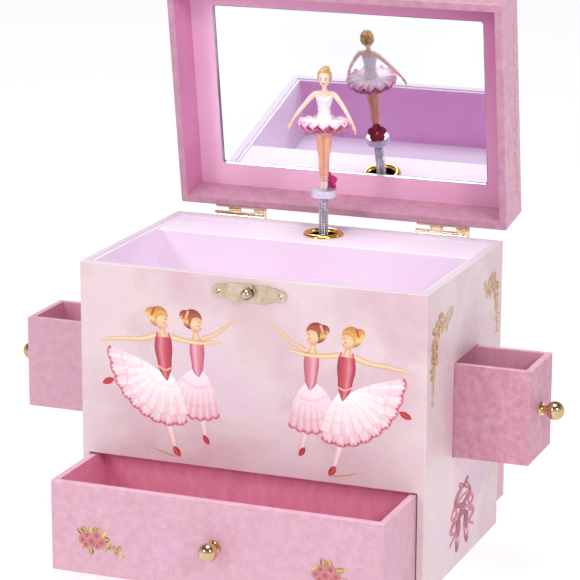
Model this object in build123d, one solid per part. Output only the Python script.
from build123d import *
import math
import os

# A musical jewellery box in millimetres: a paper-covered board box with a lift-up lid, four drawers
# and a dancer on a spring, turned by a wound movement. The origin is the centre of the footprint on
# the table, the front faces -Y and +Z is up. Every part is placed as it stands with the lid leaning
# back on its stop and the drawers partly pulled out.

# ---- driving dimensions: the box -----------------------------------------------------------------
WIDTH = 165.0
DEPTH = 109.0
RIM_Z = 138.0
WALL = 3.5
BASE_T = 5.7
CORNER_R = 1.0
EDGE_R = 0.5
FIT = 0.05

LOWER_TOP_Z = 48.6
SHELF_TOP_Z = 53.9
TUNNEL_TOP_Z = 97.9
TRAY_BOARD_TOP_Z = 103.0
TRAY_FLOOR_Z = 105.0
LINER_T = 1.5
LINER_TOP_Z = 137.4
PARTITION_T = 3.8
DIVIDER_T = 4.0
GUIDE_T = 3.3

# ---- driving dimensions: drawers -----------------------------------------------------------------
BOARD_T = 3.0
DRAWER_FLOOR_T = 2.0
END_DRAWER_W = 156.8
END_DRAWER_D = 52.2
END_DRAWER_Z0 = 6.0
END_DRAWER_H = 41.7
SIDE_DRAWER_W = 34.7
SIDE_DRAWER_D = 79.6
SIDE_DRAWER_Z0 = 54.2
SIDE_DRAWER_H = 43.2
SIDE_DRAWER_Y = 1.15
SIDE_GAP = 0.6
PULL = {"front": 40.9, "back": 24.0, "right": 35.2, "left": 46.5}

KNOB_BALL_R = 4.25
KNOB_BASE_R = 3.3
KNOB_BASE_T = 1.0
KNOB_NECK_R = 1.8
KNOB_NECK_L = 1.4
KNOB_SHANK_R = 1.2

# ---- driving dimensions: ledge, grommet and dancer -----------------------------------------------
LEDGE_FRONT_Y = 21.2
LEDGE_TOP_Z = 136.8
LEDGE_T = 3.0
APRON_T = 2.0
AXIS_X = -1.0
AXIS_Y = 39.4
GROMMET_R = 9.75
GROMMET_HOLE_R = 6.5
GROMMET_NECK_R = 7.4
GROMMET_H = 1.4

SPRING_R = 2.35
SPRING_BORE_R = 1.65
SPRING_Z0 = 138.6
DISC_Z0 = 154.9
DISC_Z1 = 158.3
DISC_R = 6.0
HIP_Z = 185.3
TUTU_TOP_Z = 191.2
TUTU_R = 12.6
WAIST_Z = 196.1
SHOULDER_Z = 204.2
CHIN_Z = 208.2
HEAD_TOP_Z = 216.2
HIP_R = 3.2
NECK_R = 1.2
ELBOW = (10.2, 197.6)
HAND = (15.2, 188.0)
FLOWER_R = 3.8
FLOWER_T = 1.8

# ---- driving dimensions: lid, hinges and clasp ---------------------------------------------------
LID_GAP = 0.3
LID_TOP_Z = 162.7
LID_WALL = 3.4
LID_TOP_T = 2.4
MAT_FACE_Z = 157.3
MAT_T = 1.4
MIRROR_T = 1.6
MIRROR_VIEW = (135.6, 80.7)
MIRROR_LAP = 3.0
MIRROR_CORNER_R = 2.0
LID_OPEN_DEG = 81.0
HINGE_Y = 58.9
HINGE_Z = 137.0
HINGE_X = 51.2
HINGE_L = 26.0
HINGE_KNUCKLES = 4
HINGE_R = 2.1
HINGE_PIN_R = 0.8
LEAF_T = 0.8
LEAF_H = 11.0

LEAF_NAIL_INSET = 5.5
BOX_LEAF_NAIL_DROP = 9.0
LID_LEAF_NAIL_RISE = 8.0
NAIL_R = 0.4
NAIL_HEAD_R = 1.1
NAIL_L = 2.0

CLASP_Z = 130.95
CLASP_LOBE_X = 14.8
CLASP_LOBE_R = 2.7
CLASP_SHOULDER_X = 9.0
CLASP_WAIST_X = 10.4
CLASP_LOW_Z = 126.9
CLASP_HIGH_Z = 135.0
CLASP_T = 0.8
CLASP_NAIL_L = 2.5
STUD_Z = 131.2
STUD_HEAD_R = 2.7
STUD_COLLAR_R = 4.0
STUD_COLLAR_T = 0.6
STUD_NECK_R = 1.0
HASP_AXIS_Y = -56.75
HASP_AXIS_Z = 141.4
HASP_R = 0.95
HASP_PIN_R = 0.45
HASP_PLATE_HALF = 12.0
HASP_PLATE_H = 5.6
HASP_PLATE_CORNER_R = 2.4
HASP_NAIL_X = 8.5
HASP_NAIL_RISE = 3.2
HASP_LUG_X = (3.2, 6.0)
TONGUE_HALF = 5.5
TONGUE_L = 16.0
TONGUE_T = 0.7
TONGUE_NECK_HALF = 2.9

# ---- driving dimensions: movement ----------------------------------------------------------------
BARREL_Z = 72.0
CROWN_PINS = 36
CROWN_R = 13.0
CROWN_PIN_R = 0.35
CYL_PINION_TEETH = 12
CYL_R = 6.5
CYL_Z0 = 89.5
CYL_Z1 = 116.5
WHEEL_TEETH = 36
GOVERNOR_TEETH = 9
GEAR_MODULE = 0.5
COMB_TEETH = 18
COMB_TOOTH_END_X = 13.0
COMB_END_X = 22.0
COMB_SCREW_X = 17.5
COMB_SCREW_R = 0.8
PLATE_T = 1.6
PLATE_HALF = 27.0
PLATE_Z = (58.0, 126.0)
PLATE_CORNER_R = 4.0
ARM_HALF = 4.0
ARM_T = 1.4
GOVERNOR_ARM_HALF = 3.5
GOVERNOR_ARM_Z = 109.0
GOVERNOR_PIVOT_R = 0.7
FLY_HALF = 5.0
FLY_HUB_R = 1.3
CYL_PIVOT_R = 1.2
MUSIC_PIN_R = 0.22
MUSIC_PIN_L = 1.2
WHEEL_T = 1.2
PINION_T = 1.6
BARREL_R = 10.5
ARBOR_R = 2.0
KEY_HOLE_R = 4.0
KEY_HUB_R = 3.2
KEY_WING_X = 6.6
KEY_WING_R = 5.6
KEY_EYE_R = 2.6
SPINDLE_R = 2.2
SPINDLE_STEP_Z = 131.0

# ---- worked out from the above -------------------------------------------------------------------
SIDE_X = WIDTH / 2 - WALL
FRONT_Y = -DEPTH / 2
BACK_Y = DEPTH / 2
IN_FRONT_Y = FRONT_Y + WALL
IN_BACK_Y = BACK_Y - WALL
TUNNEL_Y0 = SIDE_DRAWER_Y - SIDE_DRAWER_W / 2 - SIDE_GAP
TUNNEL_Y1 = SIDE_DRAWER_Y + SIDE_DRAWER_W / 2 + SIDE_GAP
GUIDE_BACK_Y = TUNNEL_Y1 + GUIDE_T
LID_RIM_Z = RIM_Z + LID_GAP
PINION_Z = BARREL_Z + CROWN_R
GOVERNOR_X = AXIS_X - GEAR_MODULE * (WHEEL_TEETH + GOVERNOR_TEETH) / 2
TOOTH_PITCH = (CYL_Z1 - CYL_Z0) / COMB_TEETH
COMB_SCREW_Z = (CYL_Z0 + 4.0, (CYL_Z0 + CYL_Z1) / 2, CYL_Z1 - 4.0)

nodes = {}


def block(x, y, z):
    """A box between two values on each axis."""
    centre = Pos((x[0] + x[1]) / 2, (y[0] + y[1]) / 2, (z[0] + z[1]) / 2)
    return centre * Box(x[1] - x[0], y[1] - y[0], z[1] - z[0])


def upright(x, y, z0, z1, radius):
    """A round bar that stands along Z."""
    return Pos(x, y, (z0 + z1) / 2) * Cylinder(radius, z1 - z0)


def level(x, z, y0, y1, radius):
    """A round bar that lies along Y."""
    return Pos(x, (y0 + y1) / 2, z) * Rot(90, 0, 0) * Cylinder(radius, y1 - y0)


def crosswise(y, z, x0, x1, radius):
    """A round bar that lies along X."""
    return Pos((x0 + x1) / 2, y, z) * Rot(0, 90, 0) * Cylinder(radius, x1 - x0)


def round_edges(part, radius, wanted):
    """Fillets the edges whose middle passes the test."""
    return fillet([e for e in part.edges() if wanted(e.center())], radius)


def near(a, b):
    return abs(a - b) < 0.01


def on_corner(c):
    """Whether a point lies on an upright corner of the footprint."""
    return near(abs(c.X), WIDTH / 2) and near(abs(c.Y), DEPTH / 2)


def turned(points, x, y):
    """A body of revolution about the vertical line at x, y, from its half outline in radius and height."""
    outline = make_face(Polyline(*[(r, 0, z) for r, z in points], close=True))
    return Pos(x, y, 0) * revolve(outline, Axis.Z)


def limb(start, end, start_r, end_r):
    """A tapered limb with rounded ends."""
    a = Vector(*start)
    b = Vector(*end)
    along = b - a
    cone = Plane(origin=a + along * 0.5, z_dir=along) * Cone(start_r, end_r, along.length)
    return cone + Pos(*start) * Sphere(start_r) + Pos(*end) * Sphere(end_r)


def add(name, *solids):
    """Keeps the solids of one node under its name."""
    nodes[name] = [s for part in solids for s in part.solids()]


# ---- carcass -------------------------------------------------------------------------------------
def side_panel(side):
    """One end board with its drawer opening; side is +1 on the right."""
    outer = WIDTH / 2
    panel = block((SIDE_X, outer), (FRONT_Y, BACK_Y), (0, RIM_Z))
    panel -= block((SIDE_X - 1, outer + 1), (TUNNEL_Y0, TUNNEL_Y1), (SHELF_TOP_Z, TUNNEL_TOP_Z))
    panel = round_edges(panel, CORNER_R, lambda c: near(c.X, outer) and near(abs(c.Y), DEPTH / 2))
    panel = round_edges(panel, EDGE_R, lambda c: near(c.Z, RIM_Z) and not near(c.X, SIDE_X))
    return panel if side > 0 else mirror(panel, about=Plane.YZ)


def build_carcass():
    inside = (-SIDE_X, SIDE_X)
    between = (IN_FRONT_Y, IN_BACK_Y)
    add("base_panel", block(inside, (FRONT_Y, BACK_Y), (0, BASE_T)))
    add("right_panel", side_panel(1))
    add("left_panel", side_panel(-1))

    front = block(inside, (FRONT_Y, IN_FRONT_Y), (LOWER_TOP_Z, RIM_Z))
    front = round_edges(front, EDGE_R, lambda c: near(c.Y, FRONT_Y) and near(c.Z, RIM_Z))
    for x in (-CLASP_LOBE_X, CLASP_LOBE_X):
        front -= level(x, CLASP_Z, FRONT_Y - 1, FRONT_Y + CLASP_NAIL_L + 0.1, NAIL_R + FIT)
    front -= level(0, STUD_Z, FRONT_Y - 1, FRONT_Y + CLASP_NAIL_L + 0.1, STUD_NECK_R + FIT)
    add("front_panel", front)

    back = block(inside, (IN_BACK_Y, BACK_Y), (LOWER_TOP_Z, RIM_Z))
    back = round_edges(back, EDGE_R, lambda c: near(c.Y, BACK_Y) and near(c.Z, RIM_Z))
    back -= level(AXIS_X, BARREL_Z, IN_BACK_Y - 1, BACK_Y + 1, KEY_HOLE_R)
    for x, z in hinge_nail_places(RIM_Z - BOX_LEAF_NAIL_DROP):
        back -= level(x, z, BACK_Y - NAIL_L - 0.2, BACK_Y + 1, NAIL_R + FIT)
    add("back_panel", back)

    add("shelf_board", block(inside, between, (LOWER_TOP_Z, SHELF_TOP_Z)))
    middle = (-PARTITION_T / 2, PARTITION_T / 2)
    add("lower_partition", block(inside, middle, (BASE_T, LOWER_TOP_Z)))
    tunnel_z = (SHELF_TOP_Z, TUNNEL_TOP_Z)
    add("tunnel_guide_front", block(inside, (TUNNEL_Y0 - GUIDE_T, TUNNEL_Y0), tunnel_z))
    add("tunnel_guide_rear", block(inside, (TUNNEL_Y1, GUIDE_BACK_Y), tunnel_z))
    add("drawer_divider", block((-DIVIDER_T / 2, DIVIDER_T / 2), (TUNNEL_Y0, TUNNEL_Y1), tunnel_z))
    tray_y = (IN_FRONT_Y, GUIDE_BACK_Y)
    add("tray_board", block(inside, tray_y, (TUNNEL_TOP_Z, TRAY_BOARD_TOP_Z)))


def build_tray():
    """The lilac tray lining, and the ledge that covers the movement, folded from one board."""
    inner_x = SIDE_X - LINER_T
    liner = block((-SIDE_X, SIDE_X), (IN_FRONT_Y, IN_BACK_Y), (TRAY_BOARD_TOP_Z, LINER_TOP_Z))
    liner -= block((-inner_x, inner_x), (IN_FRONT_Y + LINER_T, BACK_Y), (TRAY_FLOOR_Z, RIM_Z))
    liner -= block((-inner_x, inner_x), (GUIDE_BACK_Y, BACK_Y), (0, RIM_Z))
    add("tray_liner", liner)

    ledge = block((-inner_x, inner_x), (LEDGE_FRONT_Y, IN_BACK_Y), (TRAY_FLOOR_Z, LEDGE_TOP_Z))
    under_z = LEDGE_TOP_Z - LEDGE_T
    under = block((-inner_x - 1, inner_x + 1), (LEDGE_FRONT_Y + APRON_T, BACK_Y), (0, under_z))
    ledge -= under
    ledge = round_edges(ledge, 0.8, lambda c: near(c.Y, LEDGE_FRONT_Y) and near(c.Z, LEDGE_TOP_Z))
    ledge -= upright(AXIS_X, AXIS_Y, under_z - 1, LEDGE_TOP_Z + 1, GROMMET_NECK_R + FIT)
    add("movement_ledge", ledge)

    top = LEDGE_TOP_Z
    mean_r = (GROMMET_R + GROMMET_HOLE_R) / 2
    ring = Line((GROMMET_HOLE_R, 0, top), (GROMMET_HOLE_R, 0, top - LEDGE_T))
    ring += Line((GROMMET_HOLE_R, 0, top - LEDGE_T), (GROMMET_NECK_R, 0, top - LEDGE_T))
    ring += Line((GROMMET_NECK_R, 0, top - LEDGE_T), (GROMMET_NECK_R, 0, top))
    ring += Line((GROMMET_NECK_R, 0, top), (GROMMET_R, 0, top))
    crest = (mean_r, 0, top + GROMMET_H)
    ring += ThreePointArc((GROMMET_R, 0, top), crest, (GROMMET_HOLE_R, 0, top))
    add("grommet", Pos(AXIS_X, AXIS_Y, 0) * revolve(make_face(ring), Axis.Z))


# ---- drawers -------------------------------------------------------------------------------------
def knob(x, z):
    """A turned ball knob on a drawer face at y = 0, with its screwed shank behind the face."""
    ball_z = KNOB_BASE_T + KNOB_NECK_L + KNOB_BALL_R
    profile = turned(
        [
            (0, -BOARD_T + 0.3),
            (KNOB_SHANK_R, -BOARD_T + 0.3),
            (KNOB_SHANK_R, 0),
            (KNOB_BASE_R, 0),
            (KNOB_BASE_R - 0.3, KNOB_BASE_T),
            (KNOB_NECK_R, KNOB_BASE_T + 0.3),
            (KNOB_NECK_R, ball_z),
            (0, ball_z),
        ],
        0,
        0,
    )
    turned_knob = profile + Pos(0, 0, ball_z) * Sphere(KNOB_BALL_R)
    return Pos(x, 0, z) * Rot(90, 0, 0) * turned_knob


def build_drawer(name, width, depth, bottom_z, height, place):
    """One drawer, made facing -Y with its face at y = 0 and then put in its place."""
    half = width / 2
    top_z = bottom_z + height
    knob_z = bottom_z + height / 2
    face = block((-half, half), (0, BOARD_T), (bottom_z, top_z))
    face = round_edges(face, EDGE_R, lambda c: near(c.Y, 0))
    face -= level(0, knob_z, -1, BOARD_T - 0.3 + FIT, KNOB_SHANK_R + FIT)
    shell = block((-half, half), (BOARD_T, depth), (bottom_z, top_z))
    inner_x = half - BOARD_T
    shell -= block((-inner_x, inner_x), (0, depth - BOARD_T), (bottom_z - 1, top_z + 1))
    shell = round_edges(shell, EDGE_R, lambda c: near(c.Y, depth) and near(abs(c.X), half))
    floor_z = (bottom_z, bottom_z + DRAWER_FLOOR_T)
    floor = block((-inner_x, inner_x), (BOARD_T, depth - BOARD_T), floor_z)
    add(name + "_drawer_face", place * face)
    add(name + "_drawer_shell", place * shell)
    add(name + "_drawer_floor", place * floor)
    add(name + "_drawer_knob", place * knob(0, knob_z))


def build_drawers():
    end = (END_DRAWER_W, END_DRAWER_D, END_DRAWER_Z0, END_DRAWER_H)
    side = (SIDE_DRAWER_W, SIDE_DRAWER_D, SIDE_DRAWER_Z0, SIDE_DRAWER_H)
    build_drawer("front", *end, Location((0, FRONT_Y - PULL["front"], 0), (0, 0, 0)))
    build_drawer("back", *end, Location((0, BACK_Y + PULL["back"], 0), (0, 0, 180)))
    right = Location((WIDTH / 2 + PULL["right"], SIDE_DRAWER_Y, 0), (0, 0, 90))
    build_drawer("right", *side, right)
    left = Location((-WIDTH / 2 - PULL["left"], SIDE_DRAWER_Y, 0), (0, 0, -90))
    build_drawer("left", *side, left)


# ---- hinges and clasp ----------------------------------------------------------------------------
def hinge_nail_places(z):
    """Where each hinge leaf is nailed, as x and z."""
    offset = HINGE_L / 2 - LEAF_NAIL_INSET
    return [(s * HINGE_X + t * offset, z) for s in (-1, 1) for t in (-1, 1)]


def hinge_leaves(first_knuckle, bore_r, plate_z, web_z, nail_z):
    """The pair of leaves that own every second knuckle, from first_knuckle on."""
    pitch = HINGE_L / HINGE_KNUCKLES
    leaves = []
    for centre_x in (-HINGE_X, HINGE_X):
        x0 = centre_x - HINGE_L / 2
        leaf = block((x0, x0 + HINGE_L), (BACK_Y, BACK_Y + LEAF_T), plate_z)
        for n in range(first_knuckle, HINGE_KNUCKLES, 2):
            span = (x0 + n * pitch + 0.1, x0 + (n + 1) * pitch - 0.1)
            leaf += block(span, (BACK_Y, HINGE_Y), web_z)
            leaf += crosswise(HINGE_Y, HINGE_Z, *span, HINGE_R)
        leaf -= crosswise(HINGE_Y, HINGE_Z, x0 - 1, x0 + HINGE_L + 1, bore_r)
        for x, z in hinge_nail_places(nail_z):
            leaf -= level(x, z, BACK_Y - 1, BACK_Y + LEAF_T + 1, NAIL_R + FIT)
        leaves.append(leaf)
    return leaves


def hinge_nails(z):
    """Round-headed nails through a pair of leaves."""
    nails = []
    for x, at_z in hinge_nail_places(z):
        head = Pos(x, BACK_Y + LEAF_T, at_z) * Rot(-90, 0, 0) * Cone(NAIL_HEAD_R, 0.6, 0.6)
        shank = level(x, at_z, BACK_Y - NAIL_L, BACK_Y + LEAF_T, NAIL_R)
        nails.append(Pos(0, 0.3, 0) * head + shank)
    return nails


def build_box_hinges():
    top = HINGE_Z - 0.8
    web = (top - LEAF_T, top)
    nail_z = RIM_Z - BOX_LEAF_NAIL_DROP
    add("box_hinge_leaves", *hinge_leaves(0, HINGE_PIN_R + 0.03, (top - LEAF_H, top), web, nail_z))
    add("box_hinge_nails", *hinge_nails(nail_z))
    pins = []
    for x in (-HINGE_X, HINGE_X):
        ends = (x - HINGE_L / 2, x + HINGE_L / 2)
        pins.append(crosswise(HINGE_Y, HINGE_Z, *ends, HINGE_PIN_R))
    add("hinge_pins", *pins)


def build_clasp():
    """The scalloped plate on the front, its stud and its two nails."""
    lobe = CLASP_LOBE_X
    low = CLASP_Z - CLASP_LOBE_R
    high = CLASP_Z + CLASP_LOBE_R
    half = [(CLASP_SHOULDER_X, CLASP_LOW_Z), (CLASP_WAIST_X, low), (lobe, low), (lobe, high),
            (CLASP_SHOULDER_X, CLASP_HIGH_Z)]
    outline = half + [(-x, z) for x, z in reversed(half)]
    sheet_front = Plane(origin=(0, FRONT_Y, 0), x_dir=(1, 0, 0), z_dir=(0, -1, 0))
    plate = extrude(sheet_front * make_face(Polyline(*outline, close=True)), CLASP_T)
    for x in (-lobe, lobe):
        plate += level(x, CLASP_Z, FRONT_Y - CLASP_T, FRONT_Y, CLASP_LOBE_R)
    for x, z, r in ((-lobe, CLASP_Z, NAIL_R), (lobe, CLASP_Z, NAIL_R), (0, STUD_Z, STUD_NECK_R)):
        plate -= level(x, z, FRONT_Y - CLASP_T - 1, FRONT_Y + 1, r + FIT)
    add("clasp_plate", plate)

    face = FRONT_Y - CLASP_T
    collar = level(0, STUD_Z, face - STUD_COLLAR_T, face, STUD_COLLAR_R)
    neck = level(0, STUD_Z, face - 2.4, FRONT_Y + CLASP_NAIL_L, STUD_NECK_R)
    head = Pos(0, face - 2.9, STUD_Z) * Sphere(STUD_HEAD_R)
    head -= block((-9, 9), (face - 1.4, face + 9), (STUD_Z - 9, STUD_Z + 9))
    add("clasp_stud", collar + neck + head)
    nails = []
    for x in (-lobe, lobe):
        dome = Pos(x, face - 0.3, CLASP_Z) * Rot(90, 0, 0) * Cone(NAIL_HEAD_R, 0.5, 0.6)
        nails.append(dome + level(x, CLASP_Z, face, FRONT_Y + CLASP_NAIL_L, NAIL_R))
    add("clasp_nails", *nails)


# ---- lid -----------------------------------------------------------------------------------------
def opened(part):
    """Swings a part of the closed lid back to where the open lid rests."""
    back = Rot(-LID_OPEN_DEG, 0, 0)
    return Pos(0, HINGE_Y, HINGE_Z) * back * Pos(0, -HINGE_Y, -HINGE_Z) * part


def build_lid():
    """The lid, drawn closed and then opened: a four-sided rim, a top, a mat and the mirror."""
    half_x = WIDTH / 2
    rim = block((-half_x, half_x), (FRONT_Y, BACK_Y), (LID_RIM_Z, LID_TOP_Z - LID_TOP_T))
    in_x = (-half_x + LID_WALL, half_x - LID_WALL)
    in_y = (FRONT_Y + LID_WALL, BACK_Y - LID_WALL)
    rim -= block(in_x, in_y, (LID_RIM_Z - 1, LID_TOP_Z))
    rim = round_edges(rim, CORNER_R, on_corner)

    def outer_low(c):
        return near(c.Z, LID_RIM_Z) and (abs(c.X) > in_x[1] + 0.1 or abs(c.Y) > in_y[1] + 0.1)

    rim = round_edges(rim, EDGE_R, outer_low)
    for x, z in hinge_nail_places(LID_RIM_Z + LID_LEAF_NAIL_RISE):
        rim -= level(x, z, BACK_Y - NAIL_L - 0.2, BACK_Y + 1, NAIL_R + FIT)
    for x in (-HASP_NAIL_X, HASP_NAIL_X):
        rim -= level(x, HASP_AXIS_Z + HASP_NAIL_RISE, FRONT_Y - 1, FRONT_Y + NAIL_L + 0.2, NAIL_R + FIT)
    add("lid_rim", opened(rim))

    top = block((-half_x, half_x), (FRONT_Y, BACK_Y), (LID_TOP_Z - LID_TOP_T, LID_TOP_Z))
    top = round_edges(top, CORNER_R, on_corner)
    top = round_edges(top, 0.8, lambda c: near(c.Z, LID_TOP_Z))
    add("lid_top", opened(top))

    view_x, view_y = MIRROR_VIEW
    mat = block(in_x, in_y, (MAT_FACE_Z, MAT_FACE_Z + MAT_T))
    opening_z = (MAT_FACE_Z - 1, MAT_FACE_Z + MAT_T + 1)
    opening = block((-view_x / 2, view_x / 2), (-view_y / 2, view_y / 2), opening_z)
    opening = round_edges(opening, MIRROR_CORNER_R, lambda c: near(c.Z, sum(opening_z) / 2))
    add("mirror_mat", opened(mat - opening))
    glass_x = view_x / 2 + MIRROR_LAP
    glass_y = view_y / 2 + MIRROR_LAP
    glass_z = (MAT_FACE_Z + MAT_T, MAT_FACE_Z + MAT_T + MIRROR_T)
    add("mirror", opened(block((-glass_x, glass_x), (-glass_y, glass_y), glass_z)))

    low = LID_RIM_Z
    web = (low, low + LEAF_T)
    nail_z = low + LID_LEAF_NAIL_RISE
    leaves = hinge_leaves(1, HINGE_PIN_R + 0.06, (low, low + LEAF_H), web, nail_z)
    add("lid_hinge_leaves", *[opened(leaf) for leaf in leaves])
    add("lid_hinge_nails", *[opened(nail) for nail in hinge_nails(nail_z)])


def build_hasp():
    """The lid's half of the clasp: a nailed plate and a swinging tongue, folded back on the plate."""
    axis_y, axis_z = HASP_AXIS_Y, HASP_AXIS_Z
    edge = HASP_PLATE_HALF
    plate = block((-edge, edge), (FRONT_Y - LEAF_T, FRONT_Y), (axis_z - 1.0, axis_z + HASP_PLATE_H))

    def plate_corner(c):
        return near(abs(c.X), edge) and near(c.Y, FRONT_Y - LEAF_T / 2)

    plate = round_edges(plate, HASP_PLATE_CORNER_R, plate_corner)
    lug_in, lug_out = HASP_LUG_X
    for x0, x1 in ((-lug_out, -lug_in), (lug_in, lug_out)):
        plate += block((x0, x1), (axis_y, FRONT_Y), (axis_z - 0.4, axis_z + 0.4))
        plate += crosswise(axis_y, axis_z, x0, x1, HASP_R)
    plate += crosswise(axis_y, axis_z, 1 - lug_out, lug_out - 1, HASP_PIN_R)
    nail_z = axis_z + HASP_NAIL_RISE
    nails = []
    for x in (-HASP_NAIL_X, HASP_NAIL_X):
        plate -= level(x, nail_z, FRONT_Y - 3, FRONT_Y + 1, NAIL_R + FIT)
        dome = Pos(x, FRONT_Y - LEAF_T - 0.2, nail_z) * Rot(90, 0, 0) * Cone(0.9, 0.5, 0.4)
        nails.append(dome + level(x, nail_z, FRONT_Y - LEAF_T, FRONT_Y + NAIL_L, NAIL_R))
    add("hasp_plate", opened(plate))
    add("hasp_nails", *[opened(nail) for nail in nails])

    sheet = (axis_y - HASP_R, axis_y - HASP_R + TONGUE_T)
    blade = block((-TONGUE_HALF, TONGUE_HALF), sheet, (axis_z - TONGUE_L, axis_z - 2.0))

    def blade_tip(c):
        return c.Z < axis_z - TONGUE_L + 1 and near(abs(c.X), TONGUE_HALF)

    blade = round_edges(blade, TONGUE_HALF - 1.5, blade_tip)
    blade += block((-TONGUE_NECK_HALF, TONGUE_NECK_HALF), sheet, (axis_z - 2.5, axis_z))
    slot_z = (STUD_Z - 0.8, STUD_Z + 0.8)
    slot = block((-STUD_HEAD_R - 0.4, STUD_HEAD_R + 0.4), (axis_y - 3, axis_y + 3), slot_z)
    for z in slot_z:
        slot += level(0, z, axis_y - 3, axis_y + 3, STUD_HEAD_R + 0.4)
    blade -= slot
    blade += crosswise(axis_y, axis_z, -TONGUE_NECK_HALF, TONGUE_NECK_HALF, HASP_R)
    blade -= crosswise(axis_y, axis_z, -4, 4, HASP_PIN_R + 0.05)
    folded = Pos(0, axis_y, axis_z) * Rot(-180, 0, 0) * Pos(0, -axis_y, -axis_z) * blade
    add("hasp_tongue", opened(folded))


# ---- movement ------------------------------------------------------------------------------------
def gear(teeth, module, width, phase):
    """A spur gear blank about the origin, with plain tapered teeth and wide backlash."""
    pitch_r = teeth * module / 2
    root_r = pitch_r - 1.2 * module
    tip_r = pitch_r + 0.8 * module
    root_half = 0.62 * module / root_r
    tip_half = 0.25 * module / tip_r
    points = []
    for n in range(teeth):
        middle = phase + 2 * math.pi * n / teeth
        corners = ((root_r, -root_half), (tip_r, -tip_half), (tip_r, tip_half), (root_r, root_half))
        for r, turn in corners:
            points.append((r * math.cos(middle + turn), r * math.sin(middle + turn)))
    return extrude(make_face(Polyline(*points, close=True)), width)


def build_plate():
    """The movement's plate against the inside of the back, with arms for the pivots and the comb's foot."""
    plate_y = (IN_BACK_Y - PLATE_T, IN_BACK_Y)
    plate = block((-PLATE_HALF, PLATE_HALF), plate_y, PLATE_Z)

    def plate_corner(c):
        return near(abs(c.X), PLATE_HALF) and near(c.Y, sum(plate_y) / 2)

    plate = round_edges(plate, PLATE_CORNER_R, plate_corner)
    arm_y = (AXIS_Y - ARM_HALF, IN_BACK_Y - 1.0)
    arm_x = (AXIS_X - ARM_HALF, AXIS_X + ARM_HALF)
    governor_x = (GOVERNOR_X - GOVERNOR_ARM_HALF, GOVERNOR_X + 2)
    upper_z = (CYL_Z1 + 3.0, CYL_Z1 + 3.0 + ARM_T)
    plate += block(arm_x, arm_y, (PINION_Z + 2.0, PINION_Z + 2.0 + ARM_T))
    plate += block((governor_x[0], arm_x[1]), arm_y, upper_z)
    plate += block(governor_x, arm_y, (GOVERNOR_ARM_Z, GOVERNOR_ARM_Z + ARM_T))
    plate += block((COMB_TOOTH_END_X, COMB_END_X), (AXIS_Y + 0.6, IN_BACK_Y - 1.0), (CYL_Z0, CYL_Z1))
    plate -= upright(AXIS_X, AXIS_Y, PINION_Z, CYL_Z1 + 9, CYL_PIVOT_R + FIT)
    plate -= upright(GOVERNOR_X, AXIS_Y, 100, CYL_Z1 + 9, GOVERNOR_PIVOT_R + FIT)
    plate -= level(AXIS_X, BARREL_Z, plate_y[0] - 1, plate_y[1] + 1, ARBOR_R + FIT)
    for z in COMB_SCREW_Z:
        plate -= level(COMB_SCREW_X, z, AXIS_Y, AXIS_Y + 5, COMB_SCREW_R + FIT)
    add("movement_plate", plate)


def build_comb():
    """The steel comb and its three slotted screws."""
    comb_y = (AXIS_Y - 0.4, AXIS_Y + 0.6)
    tip_x = AXIS_X + CYL_R + 0.9
    comb = block((tip_x, COMB_END_X), comb_y, (CYL_Z0, CYL_Z1))
    for n in range(1, COMB_TEETH):
        cut_z = CYL_Z0 + n * TOOTH_PITCH
        comb -= block((tip_x - 1, COMB_TOOTH_END_X), (AXIS_Y - 2, AXIS_Y + 2), (cut_z - 0.2, cut_z + 0.2))
    screws = []
    head_r = 2 * COMB_SCREW_R
    for z in COMB_SCREW_Z:
        comb -= level(COMB_SCREW_X, z, AXIS_Y - 2, AXIS_Y + 2, COMB_SCREW_R + FIT)
        head = level(COMB_SCREW_X, z, comb_y[0] - 1.0, comb_y[0], head_r)
        slot_x = (COMB_SCREW_X - 2.5, COMB_SCREW_X + 2.5)
        head -= block(slot_x, (comb_y[0] - 2, comb_y[0] - 0.6), (z - 0.25, z + 0.25))
        screws.append(head + level(COMB_SCREW_X, z, comb_y[0], AXIS_Y + 4.8, COMB_SCREW_R))
    add("comb", comb)
    add("comb_screws", *screws)


def build_cylinder():
    """The pinned cylinder with its wheel above and the pinion that the barrel drives below."""
    cylinder = upright(AXIS_X, AXIS_Y, CYL_Z0, CYL_Z1, CYL_R)
    cylinder += upright(AXIS_X, AXIS_Y, PINION_Z - 1.4, CYL_Z1 + 6.5, CYL_PIVOT_R)
    for n in range(COMB_TEETH):
        for k in range(3):
            turn = math.radians(n * 47 + k * 120 + (n * k * 31) % 60)
            z = CYL_Z0 + (n + 0.5) * TOOTH_PITCH
            x = AXIS_X + CYL_R * math.cos(turn)
            y = AXIS_Y + CYL_R * math.sin(turn)
            outward = Plane(origin=(x, y, z), z_dir=(math.cos(turn), math.sin(turn), 0))
            cylinder += outward * Cylinder(MUSIC_PIN_R, MUSIC_PIN_L)
    wheel = gear(WHEEL_TEETH, GEAR_MODULE, WHEEL_T, math.pi)
    cylinder += Pos(AXIS_X, AXIS_Y, CYL_Z1 + 0.8) * wheel
    pinion = Cylinder(2.6, PINION_T)
    for n in range(CYL_PINION_TEETH):
        turn = 90 + 360 * n / CYL_PINION_TEETH
        pinion += Rot(0, 0, turn) * Pos(3.6, 0, 0) * Box(2.6, 0.6, PINION_T)
    cylinder += Pos(AXIS_X, AXIS_Y, PINION_Z) * pinion
    add("pin_cylinder", cylinder)


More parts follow.
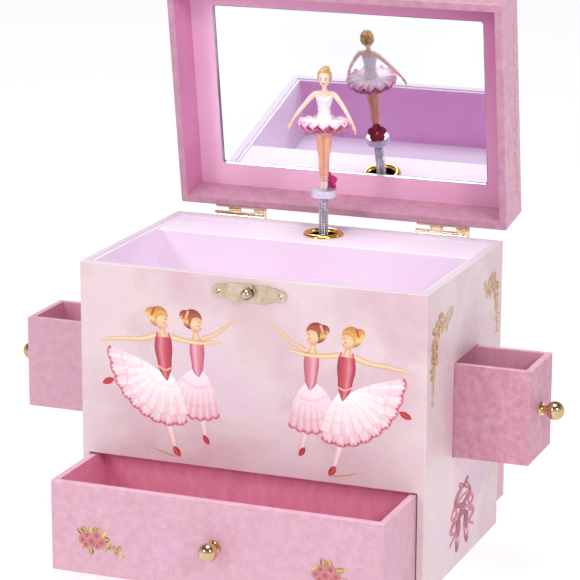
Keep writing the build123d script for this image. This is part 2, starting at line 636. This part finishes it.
def build_barrel():
    """The spring barrel with a crown of pins round its flange."""
    flange_y = (AXIS_Y + 5.2, AXIS_Y + 6.4)
    barrel = level(AXIS_X, BARREL_Z, AXIS_Y - 7, flange_y[1], BARREL_R)
    barrel += level(AXIS_X, BARREL_Z, *flange_y, CROWN_R + 1)
    for n in range(CROWN_PINS):
        turn = 2 * math.pi * (n + 0.5) / CROWN_PINS
        x = AXIS_X + CROWN_R * math.sin(turn)
        z = BARREL_Z + CROWN_R * math.cos(turn)
        barrel += level(x, z, AXIS_Y + 3.8, flange_y[1], CROWN_PIN_R)
    barrel -= level(AXIS_X, BARREL_Z, AXIS_Y - 9, BACK_Y, ARBOR_R + FIT)
    add("spring_barrel", barrel)


def build_key():
    """The winding arbor, and the butterfly key on its end behind the box."""
    arbor = level(AXIS_X, BARREL_Z, AXIS_Y - 8, BACK_Y + 5, ARBOR_R)
    arbor += level(AXIS_X, BARREL_Z, AXIS_Y - 8, AXIS_Y - 7.3, 1.7 * ARBOR_R)
    add("winding_arbor", arbor)
    key = level(AXIS_X, BARREL_Z, BACK_Y + 1.5, BACK_Y + 9, KEY_HUB_R)
    key -= level(AXIS_X, BARREL_Z, BACK_Y, BACK_Y + 5.1, ARBOR_R + FIT)
    blade_z = (BARREL_Z - 0.9, BARREL_Z + 0.9)
    key += block((AXIS_X - 6, AXIS_X + 6), (BACK_Y + 7.5, BACK_Y + 9.5), blade_z)
    for side in (-1, 1):
        wing_x = AXIS_X + side * KEY_WING_X
        eye = upright(wing_x + side * 0.8, BACK_Y + 12.6, BARREL_Z - 2, BARREL_Z + 2, KEY_EYE_R)
        key += upright(wing_x, BACK_Y + 12.2, *blade_z, KEY_WING_R) - eye
    add("winding_key", key)


def build_governor():
    """The governor: a pinion on the cylinder's wheel, with a two-bladed fly on top."""
    governor = upright(GOVERNOR_X, AXIS_Y, GOVERNOR_ARM_Z - 0.6, CYL_Z1 + 6.0, GOVERNOR_PIVOT_R)
    small = gear(GOVERNOR_TEETH, GEAR_MODULE, 1.6, math.pi / GOVERNOR_TEETH)
    governor += Pos(GOVERNOR_X, AXIS_Y, CYL_Z1 + 0.6) * small
    fly_z = (CYL_Z1 + 5.2, CYL_Z1 + 11.2)
    governor += upright(GOVERNOR_X, AXIS_Y, *fly_z, FLY_HUB_R)
    fly_x = (GOVERNOR_X - FLY_HALF, GOVERNOR_X + FLY_HALF)
    governor += block(fly_x, (AXIS_Y - 0.3, AXIS_Y + 0.3), fly_z)
    add("governor", governor)


def build_spindle():
    """The post on top of the cylinder, which drives the foot of the dancer's spring."""
    spindle_z0 = CYL_Z1 + 5.2
    spindle = upright(AXIS_X, AXIS_Y, spindle_z0, SPINDLE_STEP_Z, SPINDLE_R)
    spindle -= upright(AXIS_X, AXIS_Y, spindle_z0 - 1, CYL_Z1 + 6.6, CYL_PIVOT_R + FIT)
    spindle += upright(AXIS_X, AXIS_Y, SPINDLE_STEP_Z - 1, SPRING_Z0 + 3.4, SPRING_BORE_R - 0.1)
    add("dancer_spindle", spindle)


def build_movement():
    """A small comb movement standing on edge under the ledge."""
    build_plate()
    build_comb()
    build_cylinder()
    build_barrel()
    build_key()
    build_governor()
    build_spindle()


# ---- dancer --------------------------------------------------------------------------------------
def build_dancer():
    """The spring that bends under the lid, the disc on it, and the little figure with her skirt."""
    spring = upright(AXIS_X, AXIS_Y, SPRING_Z0, DISC_Z0, SPRING_R)
    spring -= upright(AXIS_X, AXIS_Y, SPRING_Z0 - 1, DISC_Z0 + 1, SPRING_BORE_R)
    add("bending_spring", spring)

    disc = upright(AXIS_X, AXIS_Y, DISC_Z0, DISC_Z1, DISC_R)
    disc = round_edges(disc, 0.6, lambda c: near(c.Z, DISC_Z0) or near(c.Z, DISC_Z1))
    disc += upright(AXIS_X, AXIS_Y, DISC_Z0 - 4.0, DISC_Z0 + 1, SPRING_BORE_R - 0.1)
    add("dancer_disc", disc)

    outline = [
        (0, DISC_Z1),
        (1.4, DISC_Z1),
        (2.0, DISC_Z1 + 12),
        (HIP_R, HIP_Z),
        (HIP_R, HIP_Z + 3),
        (2.3, WAIST_Z),
        (3.4, SHOULDER_Z - 3),
        (3.2, SHOULDER_Z),
        (NECK_R, SHOULDER_Z + 1.6),
        (NECK_R, CHIN_Z + 1),
        (0, CHIN_Z + 1),
    ]
    head = Pos(0, 0, (CHIN_Z + HEAD_TOP_Z) / 2) * Sphere((HEAD_TOP_Z - CHIN_Z) / 2)
    figure = turned(outline, 0, 0) + head
    figure += Pos(0, 3.6, CHIN_Z + 5.2) * Sphere(2.0)
    for side in (-1, 1):
        shoulder = (side * 3.4, 0, SHOULDER_Z - 0.6)
        elbow = (side * ELBOW[0], 0, ELBOW[1])
        hand = (side * HAND[0], -1.0, HAND[1])
        figure += limb(shoulder, elbow, 1.1, 0.9)
        figure += limb(elbow, hand, 0.9, 0.8)
    add("dancer_figure", Pos(AXIS_X, AXIS_Y, 0) * figure)

    inner_r = HIP_R + 0.3
    skirt = [(inner_r, HIP_Z + 1.2), (TUTU_R, HIP_Z), (TUTU_R, TUTU_TOP_Z - 2), (inner_r, TUTU_TOP_Z)]
    add("dancer_tutu", turned(skirt, AXIS_X, AXIS_Y))
    facing = Plane(origin=(AXIS_X + 1.8, AXIS_Y + 3.6, DISC_Z1 + 4.6), z_dir=(0.35, 0.9, 0.25))
    add("dancer_flower", facing * Cylinder(FLOWER_R, FLOWER_T))


build_carcass()
build_tray()
build_drawers()
build_box_hinges()
build_clasp()
build_lid()
build_hasp()
build_movement()
build_dancer()

os.makedirs("parts", exist_ok=True)
for node, solids in nodes.items():
    shape = solids[0] if len(solids) == 1 else Compound(children=solids)
    export_step(shape, f"parts/{node}.step")
print(len(nodes), "nodes")
